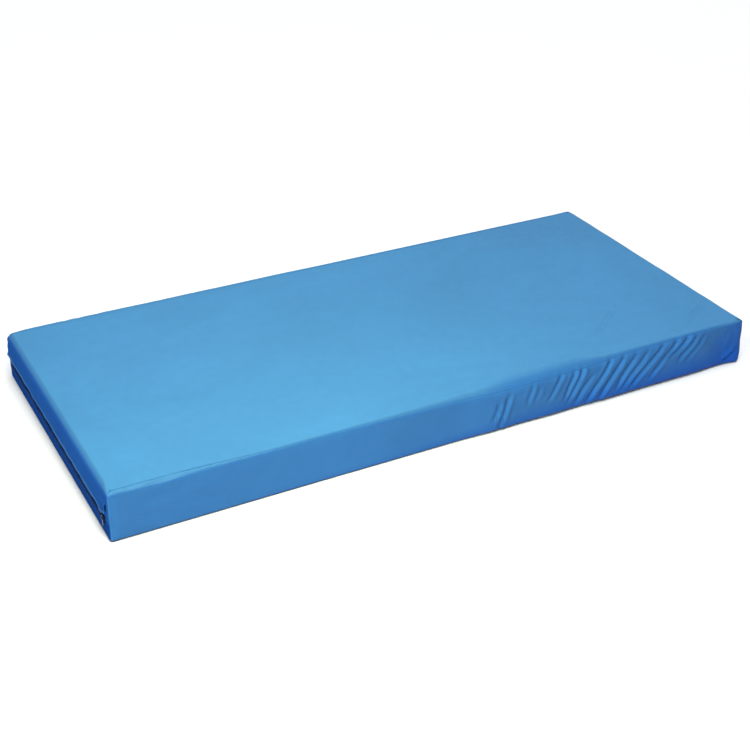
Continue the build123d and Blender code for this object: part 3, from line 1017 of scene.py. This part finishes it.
def flap_frame(y, share):
    """A place on the flap's back, and the way out from it."""
    here = np.stack(flap_back(y, share), -1)
    beside = np.stack(flap_back(y + 1 * MM, share), -1) - here
    below = np.stack(flap_back(y, share + 0.02), -1) - here
    out = np.cross(below, beside)
    return here, out / np.linalg.norm(out, axis=-1, keepdims=True)


def make_flap():
    """The flap's sheet, its folded hem, and the stitching that holds both."""
    ys = np.linspace(-FLAP_HALF_LENGTH, FLAP_HALF_LENGTH, 287)
    shares = np.linspace(0, 1 - 0.5 * HEM_THICKNESS / FLAP_DROP, 19)
    y, share = np.meshgrid(ys, shares)
    here, out = flap_frame(y, share)
    front = here + out * FLAP_THICKNESS
    flap = new_object("flap_sheet", front.reshape(-1, 3), grid_faces(*y.shape), "flap_fabric", None,
                      "flap_fabric")
    thicken(flap, FLAP_THICKNESS)
    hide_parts("zip_flap", "flap_seam_strip")
    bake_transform(flap)

    hem = make_hem(ys)
    sewn = stitch_rows("flap_hem_stitches", [hem_stitches()], "flap", "flap_fabric")


def make_hem(ys):
    """The lower edge folded over: a flattened loop of doubled fabric along the flap."""
    turns = np.linspace(0, 2 * math.pi, 12, endpoint=False)
    centre_share = 1 - 0.5 * HEM_WIDTH / FLAP_DROP
    y, turn = np.meshgrid(ys, turns)
    share = centre_share + 0.5 * HEM_WIDTH / FLAP_DROP * np.cos(turn) * np.ones_like(y)
    here, out = flap_frame(y, share)
    swell = 1 + 0.12 * ripple(y * 90, 0 * y, 25)
    bulge = np.sign(np.sin(turn)) * np.abs(np.sin(turn)) ** 0.7
    ring = here + out * (0.5 * FLAP_THICKNESS + 0.5 * HEM_THICKNESS * bulge * swell)[..., None]
    vertices = ring.transpose(1, 0, 2).reshape(-1, 3)
    faces = tube_faces(len(ys), len(turns))
    hem = new_object("flap_hem", vertices, faces, "hem_fabric", "flap", "flap_fabric")
    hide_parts("flap_edge_binding")
    return hem


def hem_stitches():
    ys = np.arange(-FLAP_HALF_LENGTH + 3 * MM, FLAP_HALF_LENGTH - 3 * MM, STITCH_PITCH)
    share = np.full_like(ys, 1 - (HEM_WIDTH - 1.6 * MM) / FLAP_DROP)
    here, out = flap_frame(ys, share)
    return here + out * (0.5 * FLAP_THICKNESS + 0.42 * HEM_THICKNESS), out


# ---------------- stitching
STITCH_PITCH = 4.0 * MM
STITCH_LENGTH = 3.0 * MM
STITCH_RADIUS = 0.28 * MM


def stitch_rows(name, rows, body, slot):
    """Thread stitches along each row, where a row is its places and the way out from each."""
    vertices, faces = [], []
    turns = np.linspace(0, 2 * math.pi, 6, endpoint=False)
    sections = [(-0.5, 0.35), (-0.3, 1.0), (0.3, 1.0), (0.5, 0.35)]
    for places, outs in rows:
        ahead = np.gradient(places, axis=0)
        for place, out, run in zip(places, outs, ahead):
            run = run / np.linalg.norm(run)
            side = np.cross(run, out)
            start = len(vertices)
            for share, fat in sections:
                middle = place + run * share * STITCH_LENGTH - out * (1 - fat) * STITCH_RADIUS
                vertices += [
                    middle + fat * STITCH_RADIUS * (math.cos(t) * side + math.sin(t) * out)
                    for t in turns
                ]
            faces += tube_faces(len(sections), len(turns), start)
    return new_object(name, vertices, faces, "thread", body, slot)


def even_places(points, outs, pitch):
    """Places at an even pitch along a line of points, with the way out at each."""
    steps = np.linalg.norm(np.diff(points, axis=0), axis=1)
    run = np.concatenate([[0], np.cumsum(steps)])
    at = np.arange(pitch, run[-1] - pitch, pitch)
    place, out = (
        np.stack([np.interp(at, run, line[:, k]) for k in range(3)], -1) for line in (points, outs)
    )
    return place, out / np.linalg.norm(out, axis=1, keepdims=True)


def cover_seam_rows():
    """Topstitching just inboard of the two long seams, and beside the zip."""
    normals = vertex_normals(cover_vertices, cover.panel_faces())
    rows = []
    for side in ("near", "far"):
        columns = list(cover.side_columns(side))
        ids = [cover.rim_id(cover.marks["seam"] - 2, c) for c in columns]
        rows.append(even_places(cover_vertices[ids], normals[ids], STITCH_PITCH))
    ys = np.arange(-SLOT_HALF_LENGTH, SLOT_HALF_LENGTH, STITCH_PITCH)
    for sign in (-1, 1):
        place = np.stack([
            np.full_like(ys, -HALF_LENGTH - 0.1 * MM), ys,
            np.full_like(ys, ZIP_Z + sign * (SLOT_HALF_HEIGHT + 2.5 * MM)),
        ], -1)
        rows.append((place, np.tile((-1.0, 0.0, 0.0), (len(ys), 1))))
    return rows


# ---------------- zip coil
COIL_PITCH = 1.5 * MM
COIL_WIRE = 0.32 * MM


def make_coil(name, node, sign):
    """One side of the zip: a nylon spiral that lies on its tape, its tips crossing the middle."""
    low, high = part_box(node)
    per_turn = 10
    count = int((high.y - low.y) / COIL_PITCH) * per_turn
    step = np.arange(count + 1)
    angle = step * 2 * math.pi / per_turn
    y = low.y + step * COIL_PITCH / per_turn + (0.5 * COIL_PITCH if sign > 0 else 0)
    inner, outer = 0.1 * MM, 3.3 * MM
    across = 0.5 * (inner + outer) + 0.5 * (outer - inner) * np.cos(angle)
    z = ZIP_Z + sign * across
    depth = 0.5 * (TEETH_HIGH.x - TEETH_LOW.x) - COIL_WIRE
    x = 0.5 * (TEETH_LOW.x + TEETH_HIGH.x) + depth * np.sin(angle)
    line = np.stack([x, y, z], -1)
    vertices, faces = tube(line, COIL_WIRE, 5)
    coil = new_object(name, vertices, faces, "coil", "mattress", "zip_coil")
    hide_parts(node)


def tube(line, radius, sides):
    """A closed tube along a line of points."""
    run = np.gradient(line, axis=0)
    run /= np.linalg.norm(run, axis=1, keepdims=True)
    first = np.cross(run, (0.0, 1.0, 0.0))
    first /= np.linalg.norm(first, axis=1, keepdims=True)
    second = np.cross(run, first)
    turns = np.linspace(0, 2 * math.pi, sides, endpoint=False)
    rings = [line + radius * (math.cos(t) * first + math.sin(t) * second) for t in turns]
    return np.stack(rings, 1).reshape(-1, 3), tube_faces(len(line), sides)


make_flap()
make_coil("zip_coil_upper", "zip_teeth_upper", 1)
make_coil("zip_coil_lower", "zip_teeth_lower", -1)
declare_cover(cover_pieces, stitch_rows("cover_stitches", cover_seam_rows(), "mattress", "top_fabric"))


# ---------------- finishes of the CAD's own pieces
NODE_MATERIALS = {
    "tape": ["zip_tape_upper", "zip_tape_lower"],
    "metal": ["zip_top_stops", "zip_bottom_stop", "zip_slider", "slider_bridge", "zip_puller"],
    "firm_foam": ["core_rail_near", "core_rail_far", "core_base_layer"],
    "soft_foam": ["core_heel_zone", "core_torso_zone", "core_head_zone"],
}
for material, nodes in NODE_MATERIALS.items():
    for node in nodes:
        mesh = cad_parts[node].data
        mesh.materials.clear()
        mesh.materials.append(MATERIALS[material])


# ---------------- camera, light and floor
CAMERA_AZIMUTH = -29.08
CAMERA_ELEVATION = 30.94
CAMERA_ROLL = 1.363
CAMERA_DISTANCE = 3.7767
CAMERA_LENS = 64.4
CAMERA_TARGET = Vector((-0.0912, -0.1327, 0.07))


def make_camera():
    azimuth, elevation = math.radians(CAMERA_AZIMUTH), math.radians(CAMERA_ELEVATION)
    back = Vector((
        math.sin(azimuth) * math.cos(elevation),
        -math.cos(azimuth) * math.cos(elevation),
        math.sin(elevation),
    ))
    right = (-back).cross(Vector((0, 0, 1))).normalized()
    up = right.cross(-back)
    roll = math.radians(CAMERA_ROLL)
    right, up = (
        math.cos(roll) * right + math.sin(roll) * up,
        -math.sin(roll) * right + math.cos(roll) * up,
    )
    data = bpy.data.cameras.new("camera")
    data.lens = CAMERA_LENS
    data.sensor_width = 36.0
    camera = add_object("camera", data)
    turn = Matrix((right, up, back)).transposed().to_4x4()
    camera.matrix_world = Matrix.Translation(CAMERA_TARGET + back * CAMERA_DISTANCE) @ turn
    bpy.context.scene.camera = camera


def area_light(name, place, target, size, power, colour):
    data = bpy.data.lights.new(name, "AREA")
    data.shape = "DISK"
    data.size = size
    data.energy = power
    data.color = colour
    data.spread = math.radians(110)
    light = add_object(name, data)
    light.location = place
    light.rotation_euler = (Vector(target) - Vector(place)).to_track_quat("-Z", "Y").to_euler()
    light.visible_camera = False


def sun_light(name, towards, power):
    data = bpy.data.lights.new(name, "SUN")
    data.energy = power
    data.angle = math.radians(50)
    light = add_object(name, data)
    light.rotation_euler = Vector(towards).to_track_quat("Z", "Y").to_euler()


def make_world():
    world = bpy.data.worlds.new("studio")
    world.use_nodes = True
    sky = world.node_tree.nodes["Background"].inputs
    sky["Color"].default_value = (0.93, 0.96, 1.0, 1.0)
    sky["Strength"].default_value = 0.45
    bpy.context.scene.world = world
    bpy.context.scene.view_settings.view_transform = "Standard"


def make_floor():
    n = Nodes("floor_paint")
    paint = n.made(Base_Color=(0.93, 0.93, 0.94), Roughness=n.cloud(0.55, 0.65, 3.0),
                   Specular_IOR_Level=0.1)
    half = 120.0
    corners = [(-half, -half, 0), (half, -half, 0), (half, half, 0), (-half, half, 0)]
    mesh = new_mesh("floor", corners, [(0, 1, 2, 3)])
    mesh.materials.append(paint)
    floor = add_object("floor", mesh)
    floor.location.z = -0.5 * MM


make_camera()
make_world()
make_floor()
area_light("key", (-0.80, -1.10, 1.45), (-0.35, -0.20, 0.1), 0.9, 11.4, (0.94, 1.0, 0.66))
sun_light("overhead", (0.0, -0.15, 1.0), 2.12)
